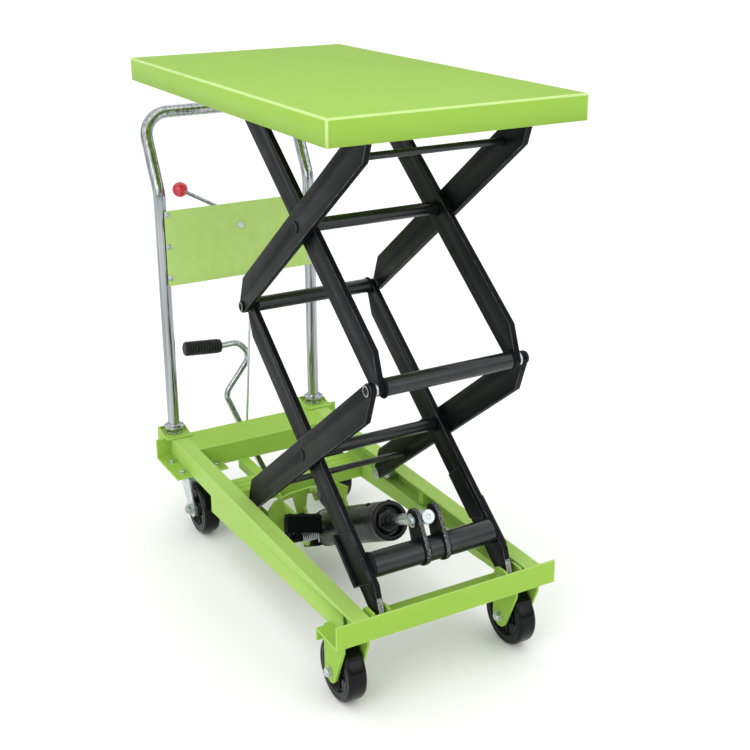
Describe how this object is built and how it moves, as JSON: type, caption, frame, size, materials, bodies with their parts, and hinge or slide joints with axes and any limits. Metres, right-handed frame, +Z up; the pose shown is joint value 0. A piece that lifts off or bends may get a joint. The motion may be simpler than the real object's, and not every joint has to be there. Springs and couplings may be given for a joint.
{
  "type": "scissor lift table",
  "caption": "Mobile double-scissor lift table with a flat deck, hydraulic foot pump, push handle, release lever, fixed front wheels and swivel rear casters.",
  "frame": {"origin": "centre of the footprint on the floor, under the middle of the overall bounding box", "axes": "+Z up, +Y towards the push handle, +X to the right seen from the front (the end without the handle)"},
  "size_m": [0.5, 1.065, 1.1005],
  "materials": {
    "green_paint": "satin lime green powder coat",
    "black_paint": "satin black paint",
    "chrome": "bright chrome plate",
    "zinc": "bright zinc plate",
    "wheel_black": "smooth black tread",
    "grip_black": "matt ribbed rubber",
    "red_knob": "glossy"
  },
  "bodies": {
    "frame": {"front_crossmember": "green_paint", "rear_crossmember": "green_paint", "middle_crossmember": "green_paint", "pump_bracket": "green_paint", "handle_tube": "chrome", "handle_panel": "green_paint", "pump_block": "black_paint", "pedal_spring": "zinc", "rail_left": "green_paint", "rail_right": "green_paint", "pivot_bracket_left": "green_paint", "pivot_bracket_right": "green_paint", "post_bracket_left": "green_paint", "post_bracket_right": "green_paint", "post_collar_left": "chrome", "post_collar_right": "chrome", "front_fork_left": "green_paint", "front_fork_right": "green_paint", "front_axle_left": "zinc", "front_axle_right": "zinc", "caster_plate_left": "zinc", "caster_plate_right": "zinc"},
    "lower_inner": {"lower_inner_arm_left": "black_paint", "lower_inner_arm_right": "black_paint", "lift_tube": "black_paint", "clevis_pin": "zinc", "lower_centre_tube": "black_paint", "middle_back_tube": "black_paint"},
    "lower_outer": {"lower_outer_arm_left": "black_paint", "lower_outer_arm_right": "black_paint", "lower_tie_rod": "black_paint"},
    "upper_inner": {"upper_inner_arm_left": "black_paint", "upper_inner_arm_right": "black_paint", "middle_front_tube": "black_paint", "upper_centre_tube": "black_paint"},
    "upper_outer": {"upper_outer_arm_left": "black_paint", "upper_outer_arm_right": "black_paint", "upper_tie_rod": "black_paint"},
    "table": {"table_deck": "green_paint", "table_channel_left": "green_paint", "table_channel_right": "green_paint"},
    "piston_rod": {"piston_rod": "chrome"},
    "cylinder": {"cylinder": "black_paint"},
    "pedal": {"pedal_lever": "chrome", "pedal_grip": "grip_black"},
    "plunger": {"pump_plunger": "zinc"},
    "release_lever": {"release_lever": "chrome", "release_knob": "red_knob"},
    "pull_rod": {"release_pull_rod": "zinc"},
    "lower_roller_left": {"lower_roller_left": "zinc"},
    "upper_roller_left": {"upper_roller_left": "zinc"},
    "front_wheel_left": {"front_wheel_left": "wheel_black"},
    "caster_fork_left": {"rear_fork_left": "zinc"},
    "rear_wheel_left": {"rear_wheel_left": "wheel_black"},
    "lower_roller_right": {"lower_roller_right": "zinc"},
    "upper_roller_right": {"upper_roller_right": "zinc"},
    "front_wheel_right": {"front_wheel_right": "wheel_black"},
    "caster_fork_right": {"rear_fork_right": "zinc"},
    "rear_wheel_right": {"rear_wheel_right": "wheel_black"}
  },
  "joints": [
    {"name": "lift", "type": "hinge", "parent": "frame", "child": "lower_inner", "pos_m": [0, -0.4925, 0.178], "axis": [1, 0, 0], "range_deg": [-34.2, 11.95]},
    {"name": "lower_cross", "type": "hinge", "parent": "lower_inner", "child": "lower_outer", "pos_m": [0, -0.22806, 0.40306], "axis": [1, 0, 0], "range_deg": [-24, 68.5]},
    {"name": "middle_front", "type": "hinge", "parent": "lower_outer", "child": "upper_inner", "pos_m": [0, -0.4925, 0.62812], "axis": [1, 0, 0], "range_deg": [-68.5, 24]},
    {"name": "upper_cross", "type": "hinge", "parent": "upper_inner", "child": "upper_outer", "pos_m": [0, -0.22806, 0.85318], "axis": [1, 0, 0], "range_deg": [-24, 68.5]},
    {"name": "table_pivot", "type": "hinge", "parent": "upper_outer", "child": "table", "pos_m": [0, -0.4925, 1.07824], "axis": [1, 0, 0], "range_deg": [-34.3, 12.05]},
    {"name": "rod_pivot", "type": "hinge", "parent": "lower_inner", "child": "piston_rod", "pos_m": [0, -0.4165, 0.3135], "axis": [1, 0, 0], "range_deg": [-13.05, 37.17]},
    {"name": "rod_stroke", "type": "slide", "parent": "piston_rod", "child": "cylinder", "axis": [0, 0.8872, -0.4613], "range_m": [-0.0876, 0.0309]},
    {"name": "lower_roller_left", "type": "hinge", "parent": "lower_outer", "child": "lower_roller_left", "pos_m": [-0.184, 0.03639, 0.178], "axis": [1, 0, 0], "continuous": true},
    {"name": "upper_roller_left", "type": "hinge", "parent": "upper_inner", "child": "upper_roller_left", "pos_m": [-0.184, 0.03639, 1.07824], "axis": [1, 0, 0], "continuous": true},
    {"name": "front_wheel_left", "type": "hinge", "parent": "frame", "child": "front_wheel_left", "pos_m": [-0.189, -0.4395, 0.0625], "axis": [1, 0, 0], "continuous": true},
    {"name": "caster_swivel_left", "type": "hinge", "parent": "frame", "child": "caster_fork_left", "pos_m": [-0.174, 0.3345, 0.14], "axis": [0, 0, 1], "continuous": true},
    {"name": "rear_wheel_left", "type": "hinge", "parent": "caster_fork_left", "child": "rear_wheel_left", "pos_m": [-0.174, 0.2965, 0.0625], "axis": [1, 0, 0], "continuous": true},
    {"name": "lower_roller_right", "type": "hinge", "parent": "lower_outer", "child": "lower_roller_right", "pos_m": [0.184, 0.03639, 0.178], "axis": [1, 0, 0], "continuous": true},
    {"name": "upper_roller_right", "type": "hinge", "parent": "upper_inner", "child": "upper_roller_right", "pos_m": [0.184, 0.03639, 1.07824], "axis": [1, 0, 0], "continuous": true},
    {"name": "front_wheel_right", "type": "hinge", "parent": "frame", "child": "front_wheel_right", "pos_m": [0.189, -0.4395, 0.0625], "axis": [1, 0, 0], "continuous": true},
    {"name": "caster_swivel_right", "type": "hinge", "parent": "frame", "child": "caster_fork_right", "pos_m": [0.174, 0.3345, 0.14], "axis": [0, 0, 1], "continuous": true},
    {"name": "rear_wheel_right", "type": "hinge", "parent": "caster_fork_right", "child": "rear_wheel_right", "pos_m": [0.174, 0.2965, 0.0625], "axis": [1, 0, 0], "continuous": true},
    {"name": "pedal", "type": "hinge", "parent": "frame", "child": "pedal", "pos_m": [0, -0.0405, 0.114], "axis": [1, 0, 0], "range_deg": [-11, 0], "stiffness_Nm_per_rad": 25, "springref_deg": 28.65},
    {"name": "plunger_stroke", "type": "slide", "parent": "frame", "child": "plunger", "axis": [0, 1, 0], "range_m": [0, 0.0061]},
    {"name": "release_lever", "type": "hinge", "parent": "frame", "child": "release_lever", "pos_m": [0, 0.4245, 0.697], "axis": [0, 1, 0], "range_deg": [-10, 0], "stiffness_Nm_per_rad": 4, "springref_deg": 22.92},
    {"name": "pull_rod_stroke", "type": "slide", "parent": "frame", "child": "pull_rod", "axis": [0, 0, 1], "range_m": [0, 0.0068]}
  ],
  "couplings": [
    {"joint": "lower_cross", "follows": "lift", "ratio": -2},
    {"joint": "middle_front", "follows": "lift", "ratio": 2},
    {"joint": "upper_cross", "follows": "lift", "ratio": -2},
    {"joint": "table_pivot", "follows": "lift", "ratio": 1},
    {"joint": "rod_pivot", "follows": "lift", "ratio": -1.0839},
    {"joint": "rod_stroke", "follows": "lift", "m_per_rad": 0.1459},
    {"joint": "plunger_stroke", "follows": "pedal", "m_per_rad": -0.0317},
    {"joint": "pull_rod_stroke", "follows": "release_lever", "m_per_rad": -0.038}
  ]
}
